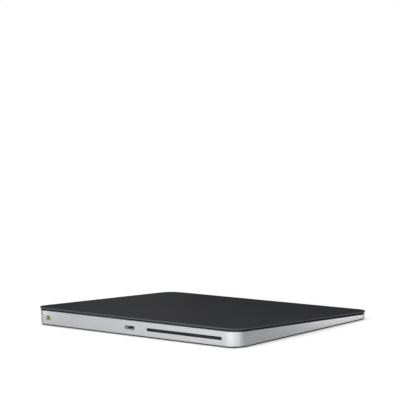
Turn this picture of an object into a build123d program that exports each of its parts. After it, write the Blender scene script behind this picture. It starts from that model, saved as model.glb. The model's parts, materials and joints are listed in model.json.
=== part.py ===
"""Wireless desktop trackpad: an aluminium wedge tray, a black glass touch deck on four force-sensing
flexures, a haptic actuator that nudges the deck, two battery cells, a logic board, a charge port and a
power switch.

Millimetres, +Z up. X runs to the user's right and Y to the back. The origin is on the desk, under the
centre of the body. The low edge faces the user at -Y, and the glass slopes up to the rear wall, which holds
the openings. The touch deck, its flexures and the actuator are drawn flat in the deck frame, whose origin
is the centre of the glass face, and are tilted into place together. Depths go down from the glass face.
"""

import os
from math import atan2, cos, degrees, sin, sqrt, tan

from build123d import *

# Overall size, over the glass and down to the desk
overall_width = 160.0
overall_depth = 114.9
front_height = 4.9
rear_height = 10.9
corner_radius = 8.4
overrun = 5.0

# Glass and the layers bonded under it
glass_thickness = 1.1
glass_edge_radius = 0.35
glass_lower_chamfer = 0.15
edge_frame_inset = 0.9
edge_frame_thickness = 0.5
film_thickness = 0.1
sensor_board_inset = 2.8
sensor_board_gap = 0.2
sensor_board_thickness = 0.5
stiffener_step = 0.5
stiffener_thickness = 0.5
stiffener_border = 9.0
stiffener_web = 4.0
stiffener_window_radius = 3.0
stiffener_flexure_land = 2.0

# Aluminium tray
side_inset = 0.3
rim_gap = 0.75
wall_thickness = 1.8
floor_thickness = 0.8
rim_chamfer = 0.2
base_edge_radius = 0.25
rib_width = 0.8
rib_height = 0.6
rib_border = 6.0
rib_columns = 6
fence_height = 1.2
fence_gap = 0.3
boss_radius = 2.0

# Dark base cover and the feet bonded into it
cover_inset = 0.25
cover_thickness = 0.6
cover_edge_chamfer = 0.15
foot_proud = 0.4
foot_radius = 4.5
foot_pocket_depth = 0.25
foot_pocket_gap = 0.1
foot_edge_chamfer = 0.12
foot_side_inset = 12.0

# Chamfer round the openings in the rear wall
opening_chamfer = 0.12
chamfer_angle = 45.0

# Antenna window in the rear wall
window_height = 1.8
window_port_gap = 9.5
window_end_margin = 0.9
window_gap = 0.02
window_recess = 0.05
window_flange_border = 1.4
window_flange_thickness = 0.6
carrier_end_margin = 3.0
carrier_rise = 1.6
carrier_thickness = 1.0
trace_width = 0.4
trace_thickness = 0.12
trace_border = 0.4
trace_bars = 10

# Charge port
port_opening_width = 7.6
port_opening_height = 1.95
port_centre_x = 0.0
port_shell_width = 9.0
port_shell_height = 2.8
port_corner_radius = 1.3
port_shell_depth = 8.6
port_mouth_width = 7.2
port_mouth_height = 1.8
port_shell_gap = 0.03
port_block_depth = 2.6
port_block_gap = 0.02
contact_count = 8
contact_pitch = 0.76
contact_width = 0.42
contact_thickness = 0.12
contact_length = 4.6
contact_rise = 0.2
bracket_thickness = 0.3
bracket_width = 4.0
bracket_ear = 3.4

# Power switch
switch_opening_length = 6.4
switch_opening_height = 2.3
switch_corner_reach = 0.8
switch_wall = 1.2
switch_skin = 0.9
knob_length = 3.1
knob_gap = 0.08
knob_recess = 0.05
knob_dimple_radius = 0.4
knob_dimple_depth = 0.2
apron_thickness = 0.5
apron_border = 0.7
apron_gap = 0.05
indicator_thickness = 0.08
fork_depth = 1.3
fork_prong = 0.7
fork_height = 1.2
fork_gap = 0.03
guide_back = 0.7
guide_rail = 0.6
guide_gap = 0.1
lever_width = 1.0
lever_height = 0.8
lever_seat = 0.8
slide_switch_length = 7.6
slide_switch_depth = 3.0

# Logic board
logic_board_depth = 17.0
logic_board_thickness = 0.8
logic_board_standoff = 0.95
logic_board_gap = 1.0
logic_board_rear_gap = 0.2
board_screw_side_inset = 7.0
board_screw_front_inset = 3.0
board_screw_inner_x = 18.0
chip_height = 0.9
shield_height = 1.3
shield_radius = 0.5
connector_width = 9.0
connector_depth = 2.4
connector_height = 0.9
passive_length = 1.0
passive_width = 0.5
passive_height = 0.5
passive_pitch = 1.6

# Screws
screw_shank_radius = 0.6
screw_head_radius = 1.2
screw_head_height = 0.35
screw_engagement = 0.7
screw_gap = 0.02
screw_clearance = 0.15
screw_recess_radius = 0.5
screw_recess_depth = 0.18
thread_spare = 0.1

# Force-sensing flexures, at the four corners of the deck
flexure_side_inset = 11.0
flexure_end_inset = 14.0
flexure_reach = 21.5
flexure_thickness = 0.4
flexure_pad_length = 9.0
flexure_pad_width = 9.0
flexure_neck_width = 4.6
flexure_pad_radius = 1.0
flexure_screw_pitch = 5.0
flexure_floor_gap = 0.3
tip_plate_radius = 4.2
tip_plate_thickness = 0.2
tip_stub_radius = 1.3
tip_stub_gap = 0.05
gel_pad_radius = 3.8
gel_pad_thickness = 0.5
gauge_length = 3.6
gauge_width = 2.8
gauge_thickness = 0.1
gauge_cable_width = 2.0
gauge_cable_thickness = 0.12
gauge_cable_run = 1.3
gauge_cable_bend = 0.3

# Haptic actuator
actuator_width = 34.0
actuator_deck_gap = 0.5
actuator_board_gap = 1.2
actuator_floor_gap = 0.5
core_back = 2.6
tooth_count = 4
tooth_width = 3.4
tooth_length = 5.0
coil_build = 0.8
coil_length = 4.2
coil_gap = 0.08
pole_gap = 0.4
bracket_plate_thickness = 0.4
bracket_land_gap = 0.1
bracket_ear_length = 4.6
attraction_thickness = 2.4
attraction_floor_gap = 0.4
attraction_flange_length = 4.6
attraction_flange_thickness = 0.6
attraction_screw_pitch = 22.0

# Battery cells and their flat wiring
battery_thickness = 2.7
battery_edge_share = 0.33
battery_tape_thickness = 0.1
battery_tape_width = 8.0
battery_swell_gap = 0.35
battery_side_gap = 2.0
battery_board_gap = 0.8
battery_terrace = 4.0
terrace_border = 1.6
battery_terrace_thickness = 0.6
protector_thickness = 0.4
protector_border = 0.4
flat_cable_thickness = 0.2
flat_cable_width = 8.0
flat_cable_bend = 0.5
battery_cable_border = 0.4
battery_connector_inset = 6.1
actuator_connector_inset = 8.0
connector_rear_inset = 11.8

# The frame of the tilted touch deck
tilt = atan2(rear_height - front_height, overall_depth)
deck_length = (overall_depth - glass_thickness * sin(tilt)) / cos(tilt)
deck_centre_y = -overall_depth / 2 + deck_length / 2 * cos(tilt)
deck_centre_z = front_height + deck_length / 2 * sin(tilt)
deck = Location((0, deck_centre_y, deck_centre_z), (degrees(tilt), 0, 0))

# Depths of the deck's layers
film_depth = glass_thickness
sensor_board_depth = film_depth + film_thickness
stiffener_depth = sensor_board_depth + sensor_board_thickness
deck_underside = stiffener_depth + stiffener_thickness
tip_plate_depth = deck_underside + gel_pad_thickness
flexure_depth = tip_plate_depth + tip_plate_thickness
flexure_underside = flexure_depth + flexure_thickness
rim_depth = glass_thickness + rim_gap

# Levels and faces of the tray
cover_z = foot_proud
case_z = cover_z + cover_thickness
floor_z = case_z + floor_thickness
case_width = overall_width - 2 * side_inset
case_depth = overall_depth - 2 * side_inset
case_radius = corner_radius - side_inset
arc_centre_x = case_width / 2 - case_radius
rear_face_y = case_depth / 2
inner_width = case_width - 2 * wall_thickness
inner_depth = case_depth - 2 * wall_thickness
inner_radius = case_radius - wall_thickness
inner_rear_y = inner_depth / 2

# The power switch, from the wall inwards
switch_face_y = rear_face_y - switch_wall
switch_centre_x = arc_centre_x + switch_corner_reach - switch_opening_length / 2
switch_arc_reach = sqrt((case_radius - switch_skin) ** 2 - (case_radius - switch_wall) ** 2)
switch_pocket_right = arc_centre_x + switch_arc_reach
switch_travel = switch_opening_length - knob_length - 2 * knob_gap
knob_x = switch_centre_x + switch_travel / 2
knob_height = switch_opening_height - 2 * knob_gap
knob_rear_y = rear_face_y - knob_recess
apron_rear_y = switch_face_y - apron_gap
apron_front_y = apron_rear_y - apron_thickness
apron_right = switch_pocket_right - guide_gap
apron_left = switch_centre_x - switch_opening_length / 2 - apron_border
apron_height = switch_opening_height + 2 * apron_border
guide_left = apron_left - switch_travel - guide_gap
guide_right = apron_right
guide_height = apron_height + 2 * (guide_gap + guide_rail)
guide_channel_y = apron_front_y - guide_gap
guide_front_y = guide_channel_y - guide_back
slide_switch_rear_y = min(apron_front_y - fork_depth, guide_front_y) - guide_gap
lever_rear_y = apron_front_y - fork_gap
lever_front_y = slide_switch_rear_y - lever_seat

# The antenna, from the wall inwards
window_inner_x = port_centre_x - port_opening_width / 2 - window_port_gap
window_outer_x = window_end_margin + window_flange_border - arc_centre_x
window_centre_x = (window_inner_x + window_outer_x) / 2
window_length = window_inner_x - window_outer_x
carrier_rear_y = inner_rear_y - window_flange_thickness
carrier_front_y = carrier_rear_y - carrier_thickness

# The logic board, whose port sets the height of all the openings in the rear wall
board_z = floor_z + logic_board_standoff
board_top_z = board_z + logic_board_thickness
opening_height = board_top_z + port_shell_height / 2
board_rear_y = min(guide_front_y, carrier_rear_y) - logic_board_rear_gap
board_front_y = board_rear_y - logic_board_depth
board_half_width = inner_width / 2 - logic_board_gap
connector_y = board_rear_y - connector_rear_inset
actuator_connector_x = actuator_width / 2 - actuator_connector_inset
connector_top_z = board_top_z + connector_height
cable_top_z = connector_top_z + flat_cable_thickness


def deck_z(y, depth):
    """Height above the desk of the plane that lies depth under the glass face, at y."""
    return front_height + (y + overall_depth / 2) * tan(tilt) - depth / cos(tilt)


def deck_y(z, depth):
    """Where the plane that lies depth under the glass face is z above the desk."""
    return (z - front_height + depth / cos(tilt)) / tan(tilt) - overall_depth / 2


def deck_v(y, depth):
    """The deck frame's own front-to-back place of a point depth under the glass face, at y."""
    return (y - deck_centre_y - depth * sin(tilt)) / cos(tilt)


def layer(outline, depth, thickness):
    """A flat layer drawn in the deck frame, its upper face depth under the glass face."""
    return extrude(Pos(0, 0, -depth - thickness) * outline, thickness)


def bar(u_low, u_high, v_low, v_high, depth, thickness):
    """A square-edged bar drawn in the deck frame."""
    outline = Pos((u_low + u_high) / 2, (v_low + v_high) / 2) * Rectangle(u_high - u_low, v_high - v_low)
    return layer(outline, depth, thickness)


def half_space(side):
    """A block larger than the body, above its origin plane for 1 and below it for -1."""
    end = Align.MIN if side > 0 else Align.MAX
    place = (Align.CENTER, Align.CENTER, end)
    return Box(2 * overall_width, 2 * overall_depth, 4 * rear_height, align=place)


def upright(outline, z_low, z_high):
    """An upright prism between two heights."""
    return extrude(Pos(0, 0, z_low) * outline, z_high - z_low)


def from_rear(outline, x, z, y_rear, y_front):
    """A prism along Y, its outline drawn as width along X and height along Z."""
    return extrude(Plane.XZ.offset(-y_rear) * Pos(x, z) * outline, y_rear - y_front)


def deck_outline(inset):
    """The deck's rounded outline, taken in by inset."""
    return RectangleRounded(overall_width - 2 * inset, deck_length - 2 * inset, corner_radius - inset)


def screw(grip):
    """A pan-head screw through grip of clamped stock, its head's seat at the origin and its shank down."""
    head = extrude(Circle(screw_head_radius), screw_head_height)
    shank = extrude(Circle(screw_shank_radius), -grip - screw_engagement)
    socket = Pos(0, 0, screw_head_height) * RegularPolygon(screw_recess_radius, 6)
    return head + shank - extrude(socket, -screw_recess_depth)


def pilot_outline():
    return Circle(screw_shank_radius + screw_gap)


def pilot_hole(grip):
    """The blind hole for that screw."""
    return extrude(pilot_outline(), -grip - screw_engagement - thread_spare)


def clearance_hole():
    return Circle(screw_shank_radius + screw_clearance)


def group(solids):
    """Several separate solids as one node."""
    return Compound(children=list(solids))


def ribbon(points, bend, thickness, width, x_centre):
    """A flat cable that lies on the right of a path in the YZ plane, with rounded bends."""
    path = FilletPolyline(*points, radius=bend)
    face = make_face(offset(path, thickness, side=Side.RIGHT, closed=True).edges())
    return extrude(Plane.YZ.offset(x_centre - width / 2) * face, width)


# Touch deck


def touch_glass():
    plate = extrude(deck_outline(0), -glass_thickness)
    plate = fillet(plate.edges().group_by(Axis.Z)[-1], glass_edge_radius)
    plate = chamfer(plate.edges().group_by(Axis.Z)[0], glass_lower_chamfer)
    return deck * plate


def edge_frame():
    ring = deck_outline(edge_frame_inset) - deck_outline(sensor_board_inset - sensor_board_gap)
    return deck * layer(ring, film_depth, edge_frame_thickness)


def bond_film():
    return deck * layer(deck_outline(sensor_board_inset), film_depth, film_thickness)


def sensor_board():
    return deck * layer(deck_outline(sensor_board_inset), sensor_board_depth, sensor_board_thickness)


# The flexures' line, and the stiffener's windows: two rows, and two columns each side of the actuator's land
flexure_u = overall_width / 2 - flexure_side_inset
window_field_inner = actuator_width / 2 + stiffener_web
window_field_outer = flexure_u - flexure_pad_width / 2 - stiffener_flexure_land
stiffener_window_width = (window_field_outer - window_field_inner - stiffener_web) / 2
stiffener_window_length = (deck_length - 2 * sensor_board_inset - 2 * stiffener_border - stiffener_web) / 2
window_row_v = (stiffener_window_length + stiffener_web) / 2
inner_column_u = window_field_inner + stiffener_window_width / 2
outer_column_u = window_field_outer - stiffener_window_width / 2


def stiffener_plate():
    plate = deck_outline(sensor_board_inset + stiffener_step)
    window = RectangleRounded(stiffener_window_width, stiffener_window_length, stiffener_window_radius)
    for u in (-outer_column_u, -inner_column_u, inner_column_u, outer_column_u):
        for row in (-1, 1):
            plate -= Pos(u, row * window_row_v) * window
    front_window = RectangleRounded(
        actuator_width - stiffener_web, stiffener_window_length, stiffener_window_radius
    )
    plate -= Pos(0, -window_row_v) * front_window
    for u in flange_screws_u:
        plate -= Pos(u, flange_screw_v) * pilot_outline()
    return deck * layer(plate, stiffener_depth, stiffener_thickness)


# Each chip's column, its distance along the rear window and its size, as shares of the window's width
sensor_chip_shares = [
    (inner_column_u, 0.25, 0.36, 0.36),
    (outer_column_u, 0.3, 0.28, 0.34),
    (-outer_column_u, 0.3, 0.22, 0.22),
]


def sensor_chips():
    """The touch controller and its helpers, inside the stiffener's rear windows."""
    chips = []
    for u, place_share, width_share, length_share in sensor_chip_shares:
        v = window_row_v + (place_share - 1 / 2) * stiffener_window_length
        outline = Rectangle(width_share * stiffener_window_width, length_share * stiffener_window_width)
        chips.append(deck * layer(Pos(u, v) * outline, stiffener_depth, chip_height))
    return group(chips)


def sensor_connector():
    v = deck_v(connector_y, stiffener_depth)
    outline = Pos(inner_column_u, v) * Rectangle(connector_width, connector_depth)
    return deck * layer(outline, stiffener_depth, connector_height)


# Haptic actuator, between the battery cells: the core's teeth face forwards to the attraction bar
actuator_depth = deck_underside + actuator_deck_gap
core_depth = actuator_depth + coil_build
actuator_rear_v = deck_v(board_front_y - actuator_board_gap, core_depth)
core_rear_v = actuator_rear_v - bracket_ear_length
tooth_root_v = core_rear_v - core_back
pole_v = tooth_root_v - tooth_length
attraction_rear_v = pole_v - pole_gap
attraction_front_v = attraction_rear_v - attraction_thickness
actuator_front_v = attraction_front_v - attraction_flange_length
flange_screw_v = attraction_front_v - attraction_flange_length / 2
flange_screws_u = (-attraction_screw_pitch / 2, attraction_screw_pitch / 2)
actuator_room = (deck_z(deck_centre_y + actuator_front_v * cos(tilt), actuator_depth) - floor_z) * cos(tilt)
bracket_depth = actuator_depth + actuator_room - actuator_floor_gap - bracket_plate_thickness
core_height = bracket_depth - bracket_land_gap - coil_build - core_depth
land_depth = core_depth + core_height
tooth_pitch = (actuator_width - tooth_width - 2 * coil_build) / (tooth_count - 1)
teeth_u = [(index - (tooth_count - 1) / 2) * tooth_pitch for index in range(tooth_count)]
bracket_screw_u = actuator_width / 2 - screw_head_radius
bracket_screws_v = (flange_screw_v, actuator_rear_v - bracket_ear_length / 2)
bracket_screw_sites = [(side * bracket_screw_u, v) for side in (-1, 1) for v in bracket_screws_v]


def haptic_core():
    half = actuator_width / 2
    core = bar(-half, half, tooth_root_v, core_rear_v, core_depth, core_height)
    for u in teeth_u:
        core += bar(u - tooth_width / 2, u + tooth_width / 2, pole_v, core_rear_v, core_depth, core_height)
    return deck * core


def haptic_coils():
    inner = Rectangle(tooth_width + 2 * coil_gap, core_height + 2 * coil_gap)
    outer = RectangleRounded(tooth_width + 2 * coil_build, core_height + 2 * coil_build, coil_build)
    root = Plane.XZ.offset(coil_gap - tooth_root_v)
    coils = []
    for u in teeth_u:
        face = root * Pos(u, -core_depth - core_height / 2) * (outer - inner)
        coils.append(deck * extrude(face, coil_length))
    return group(coils)


def haptic_bracket():
    """The steel plate that carries the core on a raised land and is screwed to four bosses."""
    half = actuator_width / 2
    plate = bar(-half, half, actuator_front_v, actuator_rear_v, bracket_depth, bracket_plate_thickness)
    plate += bar(-half, half, tooth_root_v, core_rear_v, land_depth, bracket_depth - land_depth)
    for u, v in bracket_screw_sites:
        plate -= layer(Pos(u, v) * clearance_hole(), bracket_depth, bracket_plate_thickness)
    return deck * plate


def haptic_screws():
    sites = [deck * Pos(u, v, -bracket_depth) for u, v in bracket_screw_sites]
    return group([site * screw(bracket_plate_thickness) for site in sites])


def attraction_bar():
    """The steel bar under the deck that the poles pull, with its screwed flange."""
    half = actuator_width / 2
    height = bracket_depth - attraction_floor_gap - deck_underside
    thickness = attraction_flange_thickness
    steel = bar(-half, half, attraction_front_v, attraction_rear_v, deck_underside, height)
    steel += bar(-half, half, actuator_front_v, attraction_rear_v, deck_underside, thickness)
    for u in flange_screws_u:
        steel -= layer(Pos(u, flange_screw_v) * clearance_hole(), deck_underside, thickness)
    return deck * steel


def attraction_screws():
    """Short screws from below, which end inside the stiffener."""
    seat = deck_underside + attraction_flange_thickness
    length = attraction_flange_thickness + stiffener_thickness - thread_spare
    upward = Rotation(180, 0, 0) * screw(length - screw_engagement)
    return group([deck * Pos(u, flange_screw_v, -seat) * upward for u in flange_screws_u])


# Flexures: each is fixed at its inner end and carries a corner of the deck on its outer end
front_end_y = deck_y(floor_z + flexure_floor_gap, flexure_underside)
front_tip_v = deck_v(front_end_y, flexure_underside) + tip_plate_radius
rear_tip_v = deck_length / 2 - flexure_end_inset
flexure_places = {
    "front_left": (-flexure_u, front_tip_v + flexure_reach, front_tip_v),
    "front_right": (flexure_u, front_tip_v + flexure_reach, front_tip_v),
    "rear_left": (-flexure_u, rear_tip_v - flexure_reach, rear_tip_v),
    "rear_right": (flexure_u, rear_tip_v - flexure_reach, rear_tip_v),
}
flexure_screw_sites = []
for pad_u, pad_v, _ in flexure_places.values():
    flexure_screw_sites.append((pad_u - flexure_screw_pitch / 2, pad_v))
    flexure_screw_sites.append((pad_u + flexure_screw_pitch / 2, pad_v))


def flexure(u, fixed_v, tip_v):
    outline = Pos(u, fixed_v) * RectangleRounded(flexure_pad_width, flexure_pad_length, flexure_pad_radius)
    outline += Pos(u, (fixed_v + tip_v) / 2) * Rectangle(flexure_neck_width, abs(tip_v - fixed_v))
    outline += Pos(u, tip_v) * Circle(tip_plate_radius)
    outline -= Pos(u, tip_v) * Circle(tip_stub_radius + tip_stub_gap)
    for side in (-1, 1):
        outline -= Pos(u + side * flexure_screw_pitch / 2, fixed_v) * clearance_hole()
    return deck * layer(outline, flexure_depth, flexure_thickness)


def flexure_screws():
    sites = [deck * Pos(u, v, -flexure_depth) for u, v in flexure_screw_sites]
    return group([site * screw(flexure_thickness) for site in sites])


def strain_gauges():
    gauges = []
    for u, fixed_v, tip_v in flexure_places.values():
        outline = Pos(u, (fixed_v + tip_v) / 2) * Rectangle(gauge_width, gauge_length)
        gauges.append(deck * layer(outline, flexure_depth - gauge_thickness, gauge_thickness))
    return group(gauges)


def gauge_cables():
    """Short flat cables from each gauge up to the deck's underside."""
    rise = flexure_depth - gauge_cable_thickness - deck_underside
    start = gauge_length / 2
    path = [
        (start, -rise),
        (start + gauge_cable_run, -rise),
        (start + gauge_cable_run + rise, 0),
        (start + 2 * gauge_cable_run + rise, 0),
    ]
    strip = ribbon(path, gauge_cable_bend, gauge_cable_thickness, gauge_cable_width, 0)
    cables = []
    for u, fixed_v, tip_v in flexure_places.values():
        turn = 0 if fixed_v > tip_v else 180
        cables.append(deck * Pos(u, (fixed_v + tip_v) / 2, -deck_underside) * Rotation(0, 0, turn) * strip)
    return group(cables)


def tip_plates():
    """Steel discs on the free ends of the flexures, each with a stub in the flexure's hole."""
    plates = []
    for u, _, tip_v in flexure_places.values():
        plate = layer(Pos(u, tip_v) * Circle(tip_plate_radius), tip_plate_depth, tip_plate_thickness)
        plate += layer(Pos(u, tip_v) * Circle(tip_stub_radius), flexure_depth, flexure_thickness)
        plates.append(deck * plate)
    return group(plates)


def gel_pads():
    pads = []
    for u, _, tip_v in flexure_places.values():
        pads.append(deck * layer(Pos(u, tip_v) * Circle(gel_pad_radius), deck_underside, gel_pad_thickness))
    return group(pads)


# Battery: two cells, each with a protection board and a flat cable of its own
battery_z = floor_z + battery_tape_thickness
battery_top_z = battery_z + battery_thickness
battery_front_y = deck_y(battery_top_z, deck_underside + battery_swell_gap)
battery_rear_y = board_front_y - battery_board_gap
terrace_front_y = battery_rear_y - battery_terrace
battery_inner_x = actuator_width / 2 + battery_side_gap
battery_outer_x = flexure_u - flexure_pad_width / 2 - battery_side_gap
cell_width = battery_outer_x - battery_inner_x
cell_length = terrace_front_y - battery_front_y
cell_x = (battery_outer_x + battery_inner_x) / 2
cell_y = (terrace_front_y + battery_front_y) / 2
protector_z = battery_z + battery_terrace_thickness
protector_top_z = protector_z + protector_thickness
protector_depth = battery_terrace - 2 * protector_border
terrace_y = (battery_rear_y + terrace_front_y) / 2
terrace_width = cell_width - 2 * terrace_border
battery_connector_x = battery_outer_x - battery_connector_inset


def battery_cell(side):
    outline = Pos(side * cell_x, cell_y) * Rectangle(cell_width, cell_length)
    cell = upright(outline, battery_z, battery_top_z)
    cell = fillet(cell.edges().filter_by(Axis.Y), battery_edge_share * battery_thickness)
    terrace = Pos(side * cell_x, terrace_y) * Rectangle(terrace_width, battery_terrace)
    return cell + upright(terrace, battery_z, protector_z)


def battery_protectors():
    """The thin protection boards on the cells' rear terraces."""
    boards = []
    for side in (-1, 1):
        outline = Rectangle(terrace_width - 2 * protector_border, protector_depth)
        boards.append(upright(Pos(side * cell_x, terrace_y) * outline, protector_z, protector_top_z))
    return group(boards)


def battery_tape():
    strips = []
    for side in (-1, 1):
        for end in (-1, 1):
            x = side * cell_x + end * (cell_width / 2 - battery_tape_width)
            outline = Pos(x, cell_y) * Rectangle(battery_tape_width, cell_length - battery_tape_width)
            strips.append(upright(outline, floor_z, battery_z))
    return group(strips)


def battery_cables():
    """Flat tails from the protection boards up to their connectors."""
    z = protector_top_z + flat_cable_thickness
    rear = terrace_y + protector_depth / 2 - battery_cable_border
    path = [
        (terrace_y - protector_depth / 2 + battery_cable_border, z),
        (rear, z),
        (rear, cable_top_z),
        (connector_y + connector_depth / 2, cable_top_z),
    ]
    cables = []
    for x in (-battery_connector_x, battery_connector_x):
        cables.append(ribbon(path, flat_cable_bend, flat_cable_thickness, flat_cable_width, x))
    return group(cables)


def sensor_cable():
    """The flat cable that drops from the sensor board to the logic board in one loop."""
    upper_depth = stiffener_depth + connector_height
    front = connector_y - connector_depth / 2
    loop = connector_y + connector_depth
    path = [
        (front, deck_z(front, upper_depth)),
        (loop, deck_z(loop, upper_depth)),
        (loop, connector_top_z),
        (front, connector_top_z),
    ]
    return ribbon(path, flat_cable_bend, flat_cable_thickness, flat_cable_width, inner_column_u)


def haptic_cable():
    """The flat cable from the core's back down to the logic board."""
    front = deck_centre_y + tooth_root_v * cos(tilt) + core_depth * sin(tilt)
    rear = front + core_back * cos(tilt)
    path = [
        (front, deck_z(front, core_depth) + flat_cable_thickness),
        (rear, deck_z(rear, core_depth) + flat_cable_thickness),
        (connector_y - connector_depth / 2, cable_top_z),
        (connector_y + connector_depth / 2, cable_top_z),
    ]
    return ribbon(path, flat_cable_bend, flat_cable_thickness, flat_cable_width, actuator_connector_x)


# Aluminium tray
board_screw_sites = [
    (x, board_front_y + board_screw_front_inset)
    for x in (
        board_screw_side_inset - board_half_width,
        -board_screw_inner_x,
        board_screw_inner_x,
        board_half_width - board_screw_side_inset,
    )
]
port_rear_y = inner_rear_y - port_shell_gap
port_front_y = port_rear_y - port_shell_depth
port_block_rear_y = port_front_y + port_block_depth
port_bracket_y = (port_rear_y + port_front_y) / 2
port_screw_reach = port_shell_width / 2 + bracket_thickness + bracket_ear / 2
port_screw_sites = [(port_centre_x + side * port_screw_reach, port_bracket_y) for side in (-1, 1)]


def tray_body():
    """The wedge shell: outer sides, floor and sloping rim."""
    outer = RectangleRounded(case_width, case_depth, case_radius)
    inner = RectangleRounded(inner_width, inner_depth, inner_radius)
    body = upright(outer, case_z, rear_height)
    body = fillet(body.edges().group_by(Axis.Z)[0], base_edge_radius)
    body -= deck * Pos(0, 0, -rim_depth) * half_space(1)
    body = chamfer(body.faces().sort_by(Axis.Z)[-1].outer_wire().edges(), rim_chamfer)
    return body - upright(inner, floor_z, rear_height)


def tray_bosses():
    """The posts under the flexures, the actuator bracket, the logic board and the port bracket."""
    pad = RectangleRounded(flexure_pad_width, flexure_pad_length, flexure_pad_radius)
    posts = [Pos(u, fixed_v, -flexure_underside) * pad for u, fixed_v, _ in flexure_places.values()]
    plate_underside = bracket_depth + bracket_plate_thickness
    posts += [Pos(u, v, -plate_underside) * Circle(boss_radius) for u, v in bracket_screw_sites]
    below_floor = Pos(0, 0, floor_z) * half_space(-1)
    bosses = [deck * extrude(post, -rear_height) - below_floor for post in posts]
    for x, y in board_screw_sites + port_screw_sites:
        bosses.append(upright(Pos(x, y) * Circle(boss_radius), floor_z, board_z))
    return bosses


def tray_ribs():
    """Low stiffening ribs in front of the battery, and fences round the front of each cell."""
    front_y = rib_border - inner_depth / 2
    rear_y = battery_front_y - rib_border / 2
    middle_y = (front_y + rear_y) / 2
    span = 2 * (flexure_u - flexure_pad_width)
    ribs = [upright(Pos(0, middle_y) * Rectangle(span, rib_width), floor_z, floor_z + rib_height)]
    for index in range(rib_columns):
        x = span * (index / (rib_columns - 1) - 1 / 2)
        outline = Pos(x, middle_y) * Rectangle(rib_width, rear_y - front_y)
        ribs.append(upright(outline, floor_z, floor_z + rib_height))
    fence_y = battery_front_y - fence_gap - rib_width / 2
    fence_x = battery_inner_x - fence_gap - rib_width / 2
    for side in (-1, 1):
        front = Pos(side * cell_x, fence_y) * Rectangle(cell_width, rib_width)
        inner = Pos(side * fence_x, cell_y) * Rectangle(rib_width, cell_length)
        ribs.append(upright(front, floor_z, floor_z + fence_height))
        ribs.append(upright(inner, floor_z, floor_z + fence_height))
    return ribs


def tray_holes():
    """Blind pilot holes under every screw in the tray."""
    holes = []
    for u, v in flexure_screw_sites:
        holes.append(deck * Pos(u, v, -flexure_depth) * pilot_hole(flexure_thickness))
    for u, v in bracket_screw_sites:
        holes.append(deck * Pos(u, v, -bracket_depth) * pilot_hole(bracket_plate_thickness))
    for x, y in board_screw_sites + port_screw_sites:
        holes.append(Pos(x, y, board_top_z) * pilot_hole(logic_board_thickness))
    return holes


def rear_opening(width, height, x, edge):
    """A slotted opening through the rear wall with a chamfered outer edge."""
    outline = SlotOverall(width, height)
    opening = from_rear(outline, x, opening_height, rear_face_y + overrun, inner_rear_y - overrun)
    if edge > 0:
        mouth = Pos(x, opening_height) * SlotOverall(width + 2 * edge, height + 2 * edge)
        opening += extrude(Plane.XZ.offset(-rear_face_y) * mouth, edge, taper=chamfer_angle)
    return opening


def switch_pocket():
    """The pocket inside the rear wall that holds the switch's guide and apron."""
    width = switch_pocket_right - guide_left + guide_gap
    centre = (switch_pocket_right + guide_left - guide_gap) / 2
    outline = Rectangle(width, guide_height + 2 * guide_gap)
    return from_rear(outline, centre, opening_height, switch_face_y, inner_rear_y - overrun)


def lower_case():
    tray = tray_body()
    for piece in tray_bosses() + tray_ribs():
        tray += piece
    for hole in tray_holes():
        tray -= hole
    tray -= rear_opening(window_length, window_height, window_centre_x, 0)
    tray -= rear_opening(port_opening_width, port_opening_height, port_centre_x, opening_chamfer)
    tray -= rear_opening(switch_opening_length, switch_opening_height, switch_centre_x, opening_chamfer)
    return tray - switch_pocket()


# Base cover and feet
foot_x = overall_width / 2 - foot_side_inset
foot_y = overall_depth / 2 - foot_side_inset
foot_top_z = cover_z + foot_pocket_depth


def base_cover():
    outline = RectangleRounded(
        case_width - 2 * cover_inset, case_depth - 2 * cover_inset, case_radius - cover_inset
    )
    cover = upright(outline, cover_z, case_z)
    cover = chamfer(cover.edges().group_by(Axis.Z)[0], cover_edge_chamfer)
    for x in (-foot_x, foot_x):
        for y in (-foot_y, foot_y):
            cover -= upright(Pos(x, y) * Circle(foot_radius + foot_pocket_gap), cover_z, foot_top_z)
    return cover


def rubber_foot(x, y):
    foot = upright(Pos(x, y) * Circle(foot_radius), 0, foot_top_z)
    return chamfer(foot.edges().group_by(Axis.Z)[0], foot_edge_chamfer)


# Antenna


def antenna_window():
    """The plastic insert that fills the slot in the wall, with a flange behind it."""
    insert = SlotOverall(window_length - 2 * window_gap, window_height - 2 * window_gap)
    window = from_rear(insert, window_centre_x, opening_height, rear_face_y - window_recess, carrier_rear_y)
    flange = SlotOverall(window_length + 2 * window_flange_border, window_height + 2 * window_flange_border)
    return window + from_rear(flange, window_centre_x, opening_height, inner_rear_y, carrier_rear_y)


carrier_top_z = opening_height + carrier_rise
carrier_height = carrier_top_z - board_top_z
carrier_length = window_length - 2 * carrier_end_margin


def antenna_carrier():
    """The plastic block that stands on the board behind the window."""
    z = (carrier_top_z + board_top_z) / 2
    outline = Rectangle(carrier_length, carrier_height)
    return from_rear(outline, window_centre_x, z, carrier_rear_y, carrier_front_y)


def antenna_trace():
    """The meandering copper strip on the carrier's front face, fed from the board at one end."""
    low = board_top_z + trace_border + trace_width
    high = carrier_top_z - trace_border
    reach = carrier_length / 2 - trace_border - trace_width
    pitch = 2 * reach / (trace_bars - 1)
    feed = Pos(-reach, (board_top_z + high) / 2) * Rectangle(trace_width, high - board_top_z)
    strip = feed
    for index in range(1, trace_bars):
        x = index * pitch - reach
        strip += Pos(x, (low + high) / 2) * Rectangle(trace_width, high - low)
        level = high - trace_width / 2 if index % 2 else low + trace_width / 2
        strip += Pos(x - pitch / 2, level) * Rectangle(pitch, trace_width)
    return from_rear(strip, window_centre_x, 0, carrier_front_y, carrier_front_y - trace_thickness)


# Charge port


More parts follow.
